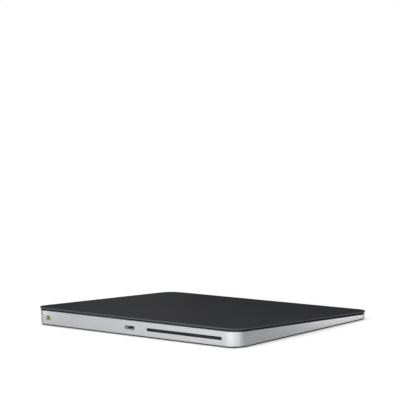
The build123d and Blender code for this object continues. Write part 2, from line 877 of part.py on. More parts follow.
def port_shell():
    outer = RectangleRounded(port_shell_width, port_shell_height, port_corner_radius)
    mouth = SlotOverall(port_mouth_width, port_mouth_height)
    return from_rear(outer - mouth, port_centre_x, opening_height, port_rear_y, port_front_y)


def port_block():
    """The moulded plug that closes the shell's inner end and carries the contacts."""
    outline = SlotOverall(port_mouth_width - 2 * port_block_gap, port_mouth_height - 2 * port_block_gap)
    return from_rear(outline, port_centre_x, opening_height, port_block_rear_y, port_front_y)


def port_contacts():
    """The row of contact fingers that reach out of the block along the mouth's floor."""
    outline = Rectangle(contact_width, contact_thickness)
    z = opening_height - port_mouth_height / 2 + contact_rise
    contacts = []
    for index in range(contact_count):
        x = port_centre_x + (index - (contact_count - 1) / 2) * contact_pitch
        contacts.append(from_rear(outline, x, z, port_block_rear_y + contact_length, port_block_rear_y))
    return group(contacts)


def port_bracket():
    """The steel strap that holds the port down, screwed through the board."""
    outer_z = opening_height + port_shell_height / 2 + bracket_thickness
    strap_width = port_shell_width + 2 * bracket_thickness
    strap = Pos(0, (outer_z + board_top_z) / 2) * Rectangle(strap_width, outer_z - board_top_z)
    ears = Rectangle(strap_width + 2 * bracket_ear, bracket_thickness)
    profile = strap + Pos(0, board_top_z + bracket_thickness / 2) * ears
    profile -= Pos(0, opening_height) * Rectangle(port_shell_width, port_shell_height)
    rear = port_bracket_y + bracket_width / 2
    bracket = from_rear(profile, port_centre_x, 0, rear, rear - bracket_width)
    for x, y in port_screw_sites:
        bracket -= upright(Pos(x, y) * clearance_hole(), board_top_z, board_top_z + bracket_thickness)
    return bracket


def port_screws():
    grip = bracket_thickness + logic_board_thickness
    return group([Pos(x, y, board_top_z + bracket_thickness) * screw(grip) for x, y in port_screw_sites])


# Power switch, shown switched on, with the knob at the user's right


def switch_knob():
    """The knob in the wall's opening, with a small round dimple."""
    outline = SlotOverall(knob_length, knob_height)
    knob = from_rear(outline, knob_x, opening_height, knob_rear_y, apron_rear_y)
    dimple = Circle(knob_dimple_radius)
    return knob - from_rear(dimple, knob_x, opening_height, knob_rear_y, knob_rear_y - knob_dimple_depth)


def indicator_outline():
    """The green field that shows beside the knob when it is switched on."""
    left = apron_left + apron_border / 2
    field = Pos((left + knob_x) / 2, 0) * Rectangle(knob_x - left, switch_opening_height)
    return field - Pos(knob_x, 0) * SlotOverall(knob_length, knob_height)


def green_indicator():
    front_y = apron_rear_y - indicator_thickness
    return from_rear(indicator_outline(), 0, opening_height, apron_rear_y, front_y)


def switch_apron():
    """The sliding shutter behind the knob, with the fork that carries the lever."""
    outline = Rectangle(apron_right - apron_left, apron_height)
    apron = from_rear(outline, (apron_right + apron_left) / 2, opening_height, apron_rear_y, apron_front_y)
    for side in (-1, 1):
        x = knob_x + side * (lever_width / 2 + fork_gap + fork_prong / 2)
        prong = Rectangle(fork_prong, fork_height)
        apron += from_rear(prong, x, opening_height, apron_front_y, apron_front_y - fork_depth)
    return apron - green_indicator()


def switch_lever():
    outline = Rectangle(lever_width, lever_height)
    return from_rear(outline, knob_x, opening_height, lever_rear_y, lever_front_y)


def switch_guide():
    """The plastic channel that keeps the apron behind the wall, with a slot for the fork."""
    centre = (guide_right + guide_left) / 2
    body = Rectangle(guide_right - guide_left, guide_height)
    guide = from_rear(body, centre, opening_height, switch_face_y, guide_front_y)
    channel = Rectangle(guide_right - guide_left, apron_height + 2 * guide_gap)
    guide -= from_rear(channel, centre, opening_height, switch_face_y, guide_channel_y)
    reach = lever_width / 2 + fork_gap + fork_prong + guide_gap
    slot = Rectangle(switch_travel + 2 * reach, fork_height + 2 * guide_gap)
    return guide - from_rear(slot, switch_centre_x, opening_height, guide_channel_y, guide_front_y)


def slide_switch():
    """The electrical switch on the board, a metal box with a slot for the lever."""
    top_z = opening_height + fork_height
    body = Rectangle(slide_switch_length, top_z - board_top_z)
    front_y = slide_switch_rear_y - slide_switch_depth
    box = from_rear(body, switch_centre_x, (top_z + board_top_z) / 2, slide_switch_rear_y, front_y)
    slot = Rectangle(lever_width + switch_travel + 2 * guide_gap, lever_height + 2 * guide_gap)
    slot_front_y = lever_front_y - guide_gap
    return box - from_rear(slot, switch_centre_x, opening_height, slide_switch_rear_y, slot_front_y)


# Logic board and what stands on it. Places are shares of the board's half width and of its depth from the
# front edge, and sizes are shares of its depth
chip_shares = [
    (-0.6, 0.62, 0.41, 0.41),
    (-0.43, 0.65, 0.3, 0.24),
    (0.745, 0.66, 0.35, 0.35),
    (0.36, 0.7, 0.24, 0.18),
]
passive_row_shares = [(-0.93, 0.6, 8), (0.18, 0.84, 8), (0.52, 0.9, 7)]
radio_shield_share = (-0.225, 0.65, 0.7, 0.47)
power_shield_share = (0.575, 0.65, 0.58, 0.3)


def logic_board():
    outline = RectangleRounded(
        2 * board_half_width, 2 * (inner_rear_y - logic_board_gap), inner_radius - logic_board_gap
    )
    strip = Pos(0, (board_front_y + board_rear_y) / 2) * Rectangle(2 * board_half_width, logic_board_depth)
    board = outline & strip
    for x, y in board_screw_sites + port_screw_sites:
        board -= Pos(x, y) * clearance_hole()
    return upright(board, board_z, board_top_z)


def board_screws():
    return group([Pos(x, y, board_top_z) * screw(logic_board_thickness) for x, y in board_screw_sites])


def on_board(x, y, width, length, height):
    """A rectangular component standing on the logic board."""
    return upright(Pos(x, y) * Rectangle(width, length), board_top_z, board_top_z + height)


def on_board_shares(shares, height):
    x_share, y_share, width_share, length_share = shares
    x = x_share * board_half_width
    y = board_front_y + y_share * logic_board_depth
    return on_board(x, y, width_share * logic_board_depth, length_share * logic_board_depth, height)


def board_chips():
    return group([on_board_shares(shares, chip_height) for shares in chip_shares])


def shield_can(shares):
    can = on_board_shares(shares, shield_height)
    return fillet(can.edges().filter_by(Axis.Z), shield_radius)


def board_passives():
    parts = []
    for x_share, y_share, count in passive_row_shares:
        y = board_front_y + y_share * logic_board_depth
        for index in range(count):
            x = x_share * board_half_width + index * passive_pitch
            parts.append(on_board(x, y, passive_width, passive_length, passive_height))
    return group(parts)


def board_connectors():
    connectors = []
    for x in (-battery_connector_x, actuator_connector_x, inner_column_u, battery_connector_x):
        connectors.append(on_board(x, connector_y, connector_width, connector_depth, connector_height))
    return group(connectors)


nodes = {
    "touch_glass": touch_glass(),
    "edge_frame": edge_frame(),
    "bond_film": bond_film(),
    "sensor_board": sensor_board(),
    "sensor_chips": sensor_chips(),
    "sensor_connector": sensor_connector(),
    "stiffener_plate": stiffener_plate(),
    "attraction_bar": attraction_bar(),
    "attraction_screws": attraction_screws(),
    "gel_pads": gel_pads(),
    "tip_plates": tip_plates(),
    "strain_gauges": strain_gauges(),
    "gauge_cables": gauge_cables(),
    "flexure_screws": flexure_screws(),
    "haptic_core": haptic_core(),
    "haptic_coils": haptic_coils(),
    "haptic_bracket": haptic_bracket(),
    "haptic_screws": haptic_screws(),
    "haptic_cable": haptic_cable(),
    "lower_case": lower_case(),
    "base_cover": base_cover(),
    "antenna_window": antenna_window(),
    "antenna_carrier": antenna_carrier(),
    "antenna_trace": antenna_trace(),
    "port_shell": port_shell(),
    "port_block": port_block(),
    "port_contacts": port_contacts(),
    "port_bracket": port_bracket(),
    "port_screws": port_screws(),
    "switch_knob": switch_knob(),
    "switch_apron": switch_apron(),
    "green_indicator": green_indicator(),
    "switch_lever": switch_lever(),
    "switch_guide": switch_guide(),
    "slide_switch": slide_switch(),
    "logic_board": logic_board(),
    "board_screws": board_screws(),
    "board_connectors": board_connectors(),
    "board_chips": board_chips(),
    "board_passives": board_passives(),
    "radio_shield": shield_can(radio_shield_share),
    "power_shield": shield_can(power_shield_share),
    "battery_cell_left": battery_cell(-1),
    "battery_cell_right": battery_cell(1),
    "battery_protectors": battery_protectors(),
    "battery_tape": battery_tape(),
    "battery_cables": battery_cables(),
    "sensor_cable": sensor_cable(),
    "foot_front_left": rubber_foot(-foot_x, -foot_y),
    "foot_front_right": rubber_foot(foot_x, -foot_y),
    "foot_rear_left": rubber_foot(-foot_x, foot_y),
    "foot_rear_right": rubber_foot(foot_x, foot_y),
}
for corner, place in flexure_places.items():
    nodes[f"flexure_{corner}"] = flexure(*place)

os.makedirs("parts", exist_ok=True)
for name, solid in nodes.items():
    export_step(solid, f"parts/{name}.step")
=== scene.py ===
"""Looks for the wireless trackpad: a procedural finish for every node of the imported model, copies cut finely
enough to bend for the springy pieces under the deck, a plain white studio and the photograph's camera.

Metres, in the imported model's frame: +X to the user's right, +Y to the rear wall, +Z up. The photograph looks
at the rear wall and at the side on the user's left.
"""

import json
from math import cos, pi, radians, sin

import bmesh
import bpy
from mathutils import Matrix, Vector


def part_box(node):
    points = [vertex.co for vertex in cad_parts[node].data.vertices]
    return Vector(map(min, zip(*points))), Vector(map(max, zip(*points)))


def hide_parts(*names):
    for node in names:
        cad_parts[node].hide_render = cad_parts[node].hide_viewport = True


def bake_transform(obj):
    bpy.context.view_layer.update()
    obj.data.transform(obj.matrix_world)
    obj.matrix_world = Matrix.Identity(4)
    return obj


MM = 0.001

# A wave texture of scale 1 repeats over this length, and a line's edge blurs over this share of its wave
wave_unit = 2 * pi / 20
line_softness = 0.08

# Two colours meet over this width at a sharp seam
seam = 0.02 * MM

# The camera, from a fit to the photograph's edge lines. Azimuth 0 looks along +Y
camera_azimuth = 223.435
camera_elevation = 4.650
camera_roll = -2.257
camera_distance = 891.946 * MM
origin_right_of_axis = 0.372 * MM
origin_above_axis = -70.619 * MM
sensor_width = 36.0
lens_length = 138.24

# The studio: the room's own light, the white backdrop and the softbox over the object
ambient_strength = 0.5
background_strength = 1.0
overhead_place = (0.08, 0.12, 0.35)
overhead_size = 0.4
overhead_radiance = 1.1

# The floor, which is lifted to white where it is seen directly, and less so near the overhead softbox
floor_size = 30.0
floor_below_feet = 0.03 * MM
floor_colour = (0.8, 0.8, 0.8)
floor_lift = 0.60
floor_lift_under_overhead = 0.31
overhead_reach = 0.6

# Each panel stands upright and faces the object: its azimuth, distance, lower edge, width and height, and
# for a softbox the radiance of its face
softboxes = {
    "front_softbox": (302.0, 0.134, 0.0005, 0.06, 0.0075, 7.6),
    "switch_side_softbox": (150.0, 0.4, 0.008, 0.10, 0.08, 10.1),
    "rear_softbox": (178.0, 0.33, 0.008, 0.10, 0.08, 12.5),
    "corner_softbox": (206.0, 0.3, 0.005, 0.12, 0.08, 8.5),
    "camera_softbox": (236.0, 0.3, 0.005, 0.12, 0.08, 5.5),
    "knob_softbox": (128.0, 0.122, 0.001, 0.007, 0.012, 3.9),
}
dark_cards = {
    "side_card": (307.0, 0.209, 0.0, 0.364, 0.13),
    "far_card": (16.5, 0.218, 0.0, 0.24, 0.09),
    "switch_card": (98.0, 0.16, 0.0, 0.16, 0.15),
}
card_colour = (0.03, 0.03, 0.03)

# The tray's aluminium, and where the cut faces of the openings in its rear wall lie
case_colour = (0.335, 0.338, 0.344)
rear_wall_inside = 55.0 * MM
rear_wall_edge = 1.0 * MM
openings_reach = 73.0 * MM
openings_edge = 0.1 * MM
machined_roughness = 0.75

# The charge port: its cut faces carry a painted highlight behind a band of painted shadow at the wall's face, and
# its shell is painted black round the mouth as painted shade
port_reach = 4.5 * MM
port_opening_half_height = 1.2 * MM
port_opening_edge = 0.05 * MM
port_shadow_band_inside = 56.45 * MM
port_shadow_band_colour = (0.07, 0.0705, 0.072)
port_cut_highlight_colour = (0.75, 0.752, 0.756)
port_shell_colour = (0.87, 0.87, 0.86)
port_mouth_half_height = 1.0 * MM
port_shade_black = (0.02, 0.02, 0.021)

# The power switch: its knob with a dimple that is painted dark as painted shade, and the switch on the board,
# whose rear side is plastic
knob_colour = (0.35, 0.353, 0.36)
dimple_radius = 0.45 * MM
dimple_shade_colour = (0.03, 0.03, 0.032)
board_switch_colour = (0.6, 0.6, 0.58)
board_switch_plastic_depth = 1.5 * MM
board_switch_black = (0.006, 0.006, 0.0065)

# The pieces that bend as the deck is pressed. A flexure bends between its strain gauge and its tip disc
tip_disc_width = 8.4 * MM
bend_cuts = 8
smooth_angle = radians(30)

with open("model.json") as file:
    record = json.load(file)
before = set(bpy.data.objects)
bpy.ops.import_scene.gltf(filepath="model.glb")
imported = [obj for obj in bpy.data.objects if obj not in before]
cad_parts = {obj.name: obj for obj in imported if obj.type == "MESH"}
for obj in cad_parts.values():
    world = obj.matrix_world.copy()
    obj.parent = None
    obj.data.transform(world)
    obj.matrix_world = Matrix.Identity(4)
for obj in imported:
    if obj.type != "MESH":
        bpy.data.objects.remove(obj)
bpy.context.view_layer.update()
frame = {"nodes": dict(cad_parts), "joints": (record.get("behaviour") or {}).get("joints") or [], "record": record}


class Finish:
    """A material in the making: its node tree, with short calls for the nodes that the finishes share."""

    def __init__(self, name, **sockets):
        self.material = bpy.data.materials.new(name)
        self.material.use_nodes = True
        self.nodes = self.material.node_tree.nodes
        self.links = self.material.node_tree.links
        self.shader = self.nodes["Principled BSDF"]
        for socket, value in sockets.items():
            self.shader.inputs[socket.replace("_", " ")].default_value = value

    def put(self, output, socket):
        """Feeds one of the shader's sockets."""
        self.links.new(output, self.shader.inputs[socket])

    def paint(self, colour):
        """Feeds the shader's colour."""
        self.put(colour, "Base Color")

    def paint_over(self, mask, colour):
        """Lays a colour over the one that the shader has, where the mask is 1."""
        under = self.shader.inputs["Base Color"].links[0].from_socket
        self.paint(self.blend(mask, under, colour))

    def roughen(self, value, low, high):
        """Roughness that runs from low to high as a value runs from 0 to 1."""
        self.put(self.remap(value, low, high), "Roughness")

    def emboss(self, height, depth, on_top_of=None):
        """Relief of that depth in metres, on top of another relief if there is one."""
        node = self.nodes.new("ShaderNodeBump")
        node.inputs["Distance"].default_value = depth
        self.links.new(height, node.inputs["Height"])
        if on_top_of is not None:
            self.links.new(on_top_of, node.inputs["Normal"])
        self.put(node.outputs["Normal"], "Normal")
        return node.outputs["Normal"]

    def place(self, stretch=(1, 1, 1), turn=0.0):
        """The point on the object, in metres, turned about Z and with each axis multiplied by stretch."""
        coordinates = self.nodes.new("ShaderNodeTexCoord")
        mapping = self.nodes.new("ShaderNodeMapping")
        mapping.inputs["Scale"].default_value = stretch
        mapping.inputs["Rotation"].default_value = (0, 0, turn)
        self.links.new(coordinates.outputs["Object"], mapping.inputs["Vector"])
        return mapping.outputs["Vector"]

    def position(self, axis):
        """The point on the object along X, Y or Z, in metres."""
        split = self.nodes.new("ShaderNodeSeparateXYZ")
        self.links.new(self.place(), split.inputs["Vector"])
        return split.outputs[axis]

    def normal(self, axis):
        """The object's own outward direction along X, Y or Z."""
        coordinates = self.nodes.new("ShaderNodeTexCoord")
        split = self.nodes.new("ShaderNodeSeparateXYZ")
        self.links.new(coordinates.outputs["Normal"], split.inputs["Vector"])
        return split.outputs[axis]

    def distance(self, value, origin=0.0):
        """How far a value is from another, either way."""
        apart = self.nodes.new("ShaderNodeMath")
        apart.operation = "SUBTRACT"
        apart.inputs[1].default_value = origin
        self.links.new(value, apart.inputs[0])
        size = self.nodes.new("ShaderNodeMath")
        size.operation = "ABSOLUTE"
        self.links.new(apart.outputs["Value"], size.inputs[0])
        return size.outputs["Value"]

    def distance_from(self, point, stretch=(1, 1, 1)):
        """How far the point on the object is from another, with each axis multiplied by stretch."""
        node = self.nodes.new("ShaderNodeVectorMath")
        node.operation = "DISTANCE"
        node.inputs[1].default_value = [part * factor for part, factor in zip(point, stretch)]
        self.links.new(self.place(stretch), node.inputs[0])
        return node.outputs["Value"]

    def noise(self, size, detail=2, stretch=(1, 1, 1)):
        """Cloudy noise whose lumps are about size across, from 0 to 1."""
        texture = self.nodes.new("ShaderNodeTexNoise")
        texture.inputs["Scale"].default_value = 1 / size
        texture.inputs["Detail"].default_value = detail
        self.links.new(self.place(stretch), texture.inputs["Vector"])
        return texture.outputs["Fac"]

    def wave(self, pitch, axis, turn=0.0):
        """A smooth wave along an axis, 0 at its troughs and 1 at its crests."""
        texture = self.nodes.new("ShaderNodeTexWave")
        texture.bands_direction = axis
        texture.inputs["Scale"].default_value = wave_unit / pitch
        self.links.new(self.place(turn=turn), texture.inputs["Vector"])
        return texture.outputs["Fac"]

    def lines(self, pitch, axis, share, turn=0.0):
        """Lines across an axis, 1 on a line and 0 between them, each a share of the pitch wide."""
        edge = (1 + cos(pi * share)) / 2
        soft = line_softness / 2
        return self.above(self.wave(pitch, axis, turn), edge - soft, edge + soft)

    def cells(self, size, output, randomness=1.0, metric="CHEBYCHEV"):
        """Cells seen from above: a random Color in each, or the Distance from its middle in cell sizes."""
        texture = self.nodes.new("ShaderNodeTexVoronoi")
        texture.voronoi_dimensions = "2D"
        texture.distance = metric
        texture.inputs["Scale"].default_value = 1 / size
        texture.inputs["Randomness"].default_value = randomness
        self.links.new(self.place(), texture.inputs["Vector"])
        return texture.outputs[output]

    def remap(self, value, low, high, start=0.0, end=1.0, curve="LINEAR"):
        """Value from start to end, made to run from low to high and held there outside."""
        node = self.nodes.new("ShaderNodeMapRange")
        node.interpolation_type = curve
        node.inputs["From Min"].default_value = start
        node.inputs["From Max"].default_value = end
        node.inputs["To Min"].default_value = low
        node.inputs["To Max"].default_value = high
        self.links.new(value, node.inputs["Value"])
        return node.outputs["Result"]

    def above(self, value, start, end):
        """A mask, 0 where the value is below start and 1 where it is above end."""
        return self.remap(value, 0.0, 1.0, start, end)

    def below(self, value, start, end):
        """A mask, 1 where the value is below start and 0 where it is above end."""
        return self.remap(value, 1.0, 0.0, start, end)

    def outside(self, mask):
        """The opposite mask, 1 where this one is 0."""
        return self.remap(mask, 1.0, 0.0)

    def combine(self, operation, *values):
        """Values put together one by one: MULTIPLY keeps what all have, and MAXIMUM what any has."""
        total = values[0]
        for value in values[1:]:
            node = self.nodes.new("ShaderNodeMath")
            node.operation = operation
            self.links.new(total, node.inputs[0])
            self.links.new(value, node.inputs[1])
            total = node.outputs["Value"]
        return total

    def blend(self, mask, low, high):
        """A colour that goes from low to high with the mask. Each is a colour or another node's output."""
        node = self.nodes.new("ShaderNodeMix")
        node.data_type = "RGBA"
        self.links.new(mask, node.inputs["Factor"])
        for socket, value in (("A", low), ("B", high)):
            inputs = [item for item in node.inputs if item.name == socket and item.type == "RGBA"]
            if isinstance(value, bpy.types.NodeSocket):
                self.links.new(value, inputs[0])
            else:
                inputs[0].default_value = (*value, 1)
        return [item for item in node.outputs if item.type == "RGBA"][0]

    def mottle(self, colour, size, spread=0.15, stretch=(1, 1, 1)):
        """That colour, darker by up to spread in cloudy patches."""
        darker = tuple((1 - spread) * part for part in colour)
        return self.blend(self.noise(size, stretch=stretch), darker, colour)


def middle_of(node):
    """The middle of a CAD node's box."""
    lowest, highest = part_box(node)
    return (lowest + highest) / 2


def deck_glass():
    """Black glass, etched matt, with faint wipe marks, and a painted sheen that makes its edge faces paler."""
    face_colour = (0.034, 0.0347, 0.0367)
    edge_sheen_colour = (0.052, 0.053, 0.055)
    finish = Finish("black_etched_glass", Specular_IOR_Level=0.0, Coat_Weight=0.07, Coat_Roughness=0.44)
    finish.paint(finish.mottle(face_colour, size=60 * MM, spread=0.1))
    # painted sheen: faces that turn away from the top are painted paler
    finish.paint_over(finish.below(finish.normal("Z"), start=0.2, end=0.9), edge_sheen_colour)
    finish.roughen(finish.noise(size=9 * MM, stretch=(1, 3, 1)), low=0.44, high=0.56)
    finish.emboss(finish.noise(size=0.06 * MM), depth=0.001 * MM)
    return finish


def blasted_aluminium(name, colour, roughness):
    """Bead-blasted, clear-anodised aluminium with a few hairline marks, rougher inside the openings."""
    uneven = 0.03
    finish = Finish(name, Metallic=1.0)
    finish.paint(finish.mottle(colour, size=25 * MM, spread=0.06))
    cloud = finish.remap(finish.noise(size=4 * MM), low=roughness - uneven, high=roughness + uneven)
    streaks = finish.noise(size=1.2 * MM, stretch=(1, 1, 40))
    hairlines = finish.remap(streaks, low=0.0, high=-0.06, start=0.70, end=0.76)
    blasted = finish.combine("ADD", cloud, hairlines)
    machined = finish.remap(opening_faces(finish), low=0.0, high=machined_roughness)
    finish.put(finish.combine("MAXIMUM", blasted, machined), "Roughness")
    finish.emboss(finish.noise(size=0.12 * MM, detail=3), depth=0.007 * MM)
    return finish


def opening_faces(finish):
    """A mask of the faces cut through the rear wall, which are those in it that don't face the rear."""
    in_wall = finish.above(finish.position("Y"), rear_wall_inside - rear_wall_edge, rear_wall_inside)
    sideways = finish.distance(finish.position("X"))
    between_corners = finish.below(sideways, openings_reach - openings_edge, openings_reach)
    turned_away = finish.below(finish.normal("Y"), start=0.6, end=0.9)
    return finish.combine("MULTIPLY", in_wall, between_corners, turned_away)


def case_aluminium():
    """The tray's aluminium, with a painted highlight on the cut faces of the charge port's opening, behind a band
    of painted shadow at the wall's face.
    """
    finish = blasted_aluminium("case_aluminium", case_colour, roughness=0.42)
    port = middle_of("port_shell")
    sideways = finish.distance(finish.position("X"), port.x)
    height = finish.distance(finish.position("Z"), port.z)
    port_top = port_opening_half_height
    near_port = finish.below(sideways, port_reach - openings_edge, port_reach)
    level_with_port = finish.below(height, port_top - port_opening_edge, port_top)
    port_faces = finish.combine("MULTIPLY", opening_faces(finish), near_port, level_with_port)
    # painted shadow in the outer band of the port's cut faces, painted highlight on the rest of them
    behind_shadow_band = finish.below(finish.position("Y"), port_shadow_band_inside, port_shadow_band_inside + seam)
    finish.paint_over(port_faces, finish.blend(behind_shadow_band, port_shadow_band_colour, port_cut_highlight_colour))
    return finish


def knob_aluminium():
    """The knob's aluminium, with painted shade in its dimple."""
    finish = blasted_aluminium("knob_aluminium", knob_colour, roughness=0.38)
    away = finish.distance_from(middle_of("switch_knob"), stretch=(1, 0, 1))
    # painted shade: the dimple is painted near-black where a recess would fall in shade
    finish.paint_over(finish.below(away, dimple_radius, dimple_radius + seam), dimple_shade_colour)
    return finish


def plastic(name, colour, roughness, gloss=0.5, grain=0.3 * MM, depth=0.01 * MM):
    """Moulded plastic with a fine spark-eroded texture."""
    uneven = 0.05
    finish = Finish(name, Specular_IOR_Level=gloss)
    finish.paint(finish.mottle(colour, size=6 * MM))
    finish.roughen(finish.noise(size=1.5 * MM), low=roughness - uneven, high=roughness + uneven)
    finish.emboss(finish.noise(grain), depth)
    return finish


def metal(name, colour, roughness, grain=(30, 1, 30)):
    """Rolled or plated metal, with its grain along the axis that grain stretches least."""
    uneven = 0.07
    finish = Finish(name, Metallic=1.0)
    finish.paint(finish.mottle(colour, size=3 * MM, stretch=grain))
    streaks = finish.noise(size=1 * MM, stretch=grain)
    finish.roughen(streaks, low=roughness - uneven, high=roughness + uneven)
    finish.emboss(streaks, depth=0.003 * MM)
    return finish


def blacken(finish, black, colour):
    """Makes a metal finish a flat black where the mask is 1: black plastic on the board's switch, painted shade in
    the port.
    """
    finish.paint_over(black, colour)
    finish.put(finish.outside(black), "Metallic")


def board_switch():
    """The switch on the board: a plated shell, with black plastic on the side that the lever enters."""
    finish = metal("slide_switch_shell", board_switch_colour, roughness=0.3)
    plastic_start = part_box("slide_switch")[1].y - board_switch_plastic_depth
    plastic_side = finish.above(finish.position("Y"), plastic_start, plastic_start + seam)
    blacken(finish, plastic_side, board_switch_black)
    return finish


def port_shell():
    """The port's plated shell, painted black round its mouth and on the mouth's floor and roof as painted shade.
    """
    finish = metal("port_shell", port_shell_colour, roughness=0.62)
    height = finish.distance(finish.position("Z"), middle_of("port_shell").z)
    in_mouth = finish.below(height, port_mouth_half_height, port_mouth_half_height + seam)
    level = finish.above(finish.distance(finish.normal("Z")), start=0.6, end=0.75)
    rim = finish.above(finish.normal("Y"), start=0.8, end=0.9)
    # painted shade: the shell's rim and the mouth's floor and roof are painted black
    black = finish.combine("MAXIMUM", finish.combine("MULTIPLY", in_mouth, level), rim)
    blacken(finish, black, port_shade_black)
    return finish


def touch_sensor_board():
    """A green solder mask over crossed diagonal electrodes."""
    mask_colour = (0.012, 0.085, 0.035)
    gap_colour = (0.006, 0.03, 0.014)
    diagonal = radians(45)
    finish = Finish("touch_sensor_board")
    one_way = finish.lines(pitch=5 * MM, axis="X", share=0.08, turn=diagonal)
    other_way = finish.lines(pitch=5 * MM, axis="Y", share=0.08, turn=diagonal)
    gaps = finish.combine("MAXIMUM", one_way, other_way)
    finish.paint(finish.mottle(mask_colour, size=8 * MM))
    finish.paint_over(gaps, gap_colour)
    finish.roughen(finish.noise(size=2 * MM), low=0.3, high=0.38)
    finish.emboss(finish.outside(gaps), depth=0.02 * MM)
    return finish


def circuit_board():
    """A blue-black solder mask with bundles of tracks both ways, and tinned through holes."""
    mask_colour = (0.006, 0.011, 0.022)
    track_colour = (0.012, 0.026, 0.05)
    tin_colour = (0.55, 0.54, 0.5)
    finish = Finish("circuit_board")
    bundle = finish.above(finish.cells(size=5 * MM, output="Color"), start=0.49, end=0.51)
    along = finish.lines(pitch=0.5 * MM, axis="Y", share=0.4)
    across = finish.lines(pitch=0.5 * MM, axis="X", share=0.4)
    tracks = finish.combine("MAXIMUM", finish.combine("MULTIPLY", along, bundle),
                            finish.combine("MULTIPLY", across, finish.outside(bundle)))
    away = finish.cells(size=2 * MM, output="Distance", randomness=0.7, metric="EUCLIDEAN")
    holes = finish.below(away, start=0.10, end=0.13)
    finish.paint(finish.mottle(mask_colour, size=8 * MM))
    finish.paint_over(tracks, track_colour)
    finish.paint_over(holes, tin_colour)
    finish.put(holes, "Metallic")
    finish.roughen(finish.noise(size=2 * MM), low=0.27, high=0.35)
    finish.emboss(tracks, depth=0.02 * MM)
    return finish


def board_connector():
    """Ivory nylon with a row of gold-plated contacts."""
    nylon_colour = (0.6, 0.55, 0.45)
    gold_colour = (0.8, 0.58, 0.22)
    finish = Finish("board_connector")
    contacts = finish.lines(pitch=0.5 * MM, axis="X", share=0.4)
    finish.paint(finish.mottle(nylon_colour, size=3 * MM))
    finish.paint_over(contacts, gold_colour)
    finish.put(contacts, "Metallic")
    finish.roughen(finish.noise(size=1 * MM), low=0.4, high=0.5)
    finish.emboss(contacts, depth=0.02 * MM)
    return finish


def laminated_steel():
    """Stamped electrical steel sheets in a stack, with dark varnish in the joints."""
    sheet_colour = (0.38, 0.38, 0.4)
    varnish_colour = (0.03, 0.03, 0.035)
    finish = Finish("laminated_steel")
    joints = finish.lines(pitch=0.35 * MM, axis="Z", share=0.2)
    sheets = finish.outside(joints)
    finish.paint(finish.mottle(sheet_colour, size=2 * MM, spread=0.3))
    finish.paint_over(joints, varnish_colour)
    finish.put(sheets, "Metallic")
    finish.roughen(finish.noise(size=0.6 * MM), low=0.38, high=0.52)
    finish.emboss(sheets, depth=0.03 * MM)
    return finish


def wound_copper():
    """Enamelled copper wire in close turns, with painted shade in the grooves between them."""
    wire_colour = (0.72, 0.34, 0.15)
    groove_shade_colour = (0.2, 0.07, 0.03)
    finish = Finish("wound_copper", Metallic=1.0, Coat_Weight=0.6, Coat_Roughness=0.15)
    turns = finish.wave(pitch=0.25 * MM, axis="Y")
    finish.paint(finish.mottle(wire_colour, size=1.5 * MM))
    # painted shade in the troughs between the turns
    finish.paint_over(finish.below(turns, start=0.0, end=0.4), groove_shade_colour)
    finish.roughen(finish.noise(size=0.8 * MM), low=0.3, high=0.4)
    finish.emboss(turns, depth=0.06 * MM)
    return finish


def flat_cable():
    """Amber film over copper tracks."""
    film_colour = (0.4, 0.16, 0.03)
    track_colour = (0.62, 0.27, 0.07)
    finish = Finish("flat_cable", Coat_Weight=0.5, Coat_Roughness=0.2)
    tracks = finish.lines(pitch=0.5 * MM, axis="X", share=0.55)
    finish.paint(finish.mottle(film_colour, size=4 * MM))
    finish.paint_over(tracks, track_colour)
    finish.put(finish.remap(tracks, low=0.0, high=0.5), "Metallic")
    finish.roughen(finish.noise(size=1.5 * MM), low=0.25, high=0.35)
    finish.emboss(tracks, depth=0.015 * MM)
    return finish


def cell_pouch():
    """Grey laminated foil with a fine emboss and soft dents."""
    foil_colour = (0.32, 0.32, 0.33)
    finish = Finish("cell_pouch", Metallic=0.8)
    finish.paint(finish.mottle(foil_colour, size=12 * MM, spread=0.25))
    finish.roughen(finish.noise(size=3 * MM), low=0.36, high=0.48)
    dents = finish.emboss(finish.noise(size=9 * MM), depth=0.12 * MM)
    finish.emboss(finish.noise(size=0.5 * MM), depth=0.02 * MM, on_top_of=dents)
    return finish


def soft_silicone(name, colour, roughness, clearness):
    """Clear soft silicone or adhesive film with a slightly uneven face."""
    uneven = 0.08
    finish = Finish(name, Transmission_Weight=clearness, IOR=1.41)
    finish.paint(finish.mottle(colour, size=2 * MM))
    finish.roughen(finish.noise(size=1 * MM), low=roughness - uneven, high=roughness + uneven)
    finish.emboss(finish.noise(size=0.4 * MM), depth=0.01 * MM)
    return finish


def fibre_tape():
    """White double-sided tape with a tissue core."""
    hollow_colour = (0.5, 0.5, 0.48)
    fibre_colour = (0.8, 0.8, 0.78)
    finish = Finish("fibre_tape")
    fibres = finish.noise(size=0.8 * MM, detail=6, stretch=(1, 6, 1))
    finish.paint(finish.blend(fibres, hollow_colour, fibre_colour))
    finish.roughen(fibres, low=0.75, high=0.55)
    finish.emboss(fibres, depth=0.02 * MM)
    return finish


def ceramic_passives():
    """Small fired components, each in its own shade from grey to brown."""
    grey = (0.05, 0.05, 0.055)
    brown = (0.5, 0.36, 0.24)
    finish = Finish("ceramic_passives")
    finish.paint(finish.blend(finish.cells(size=1.6 * MM, output="Color"), grey, brown))
    finish.roughen(finish.noise(size=0.3 * MM), low=0.35, high=0.5)
    finish.emboss(finish.noise(size=0.1 * MM), depth=0.004 * MM)
    return finish


def green_print():
    """Green ink over a bright ground, thinner in places."""
    thick_colour = (0.135, 0.222, 0.07)
    thin_colour = (0.2, 0.292, 0.108)
    finish = Finish("green_print", Coat_Weight=0.2, Coat_Roughness=0.3)
    finish.paint(finish.blend(finish.noise(size=0.7 * MM), thick_colour, thin_colour))
    finish.roughen(finish.noise(size=0.4 * MM), low=0.4, high=0.55)
    finish.emboss(finish.noise(size=0.08 * MM), depth=0.003 * MM)
    return finish


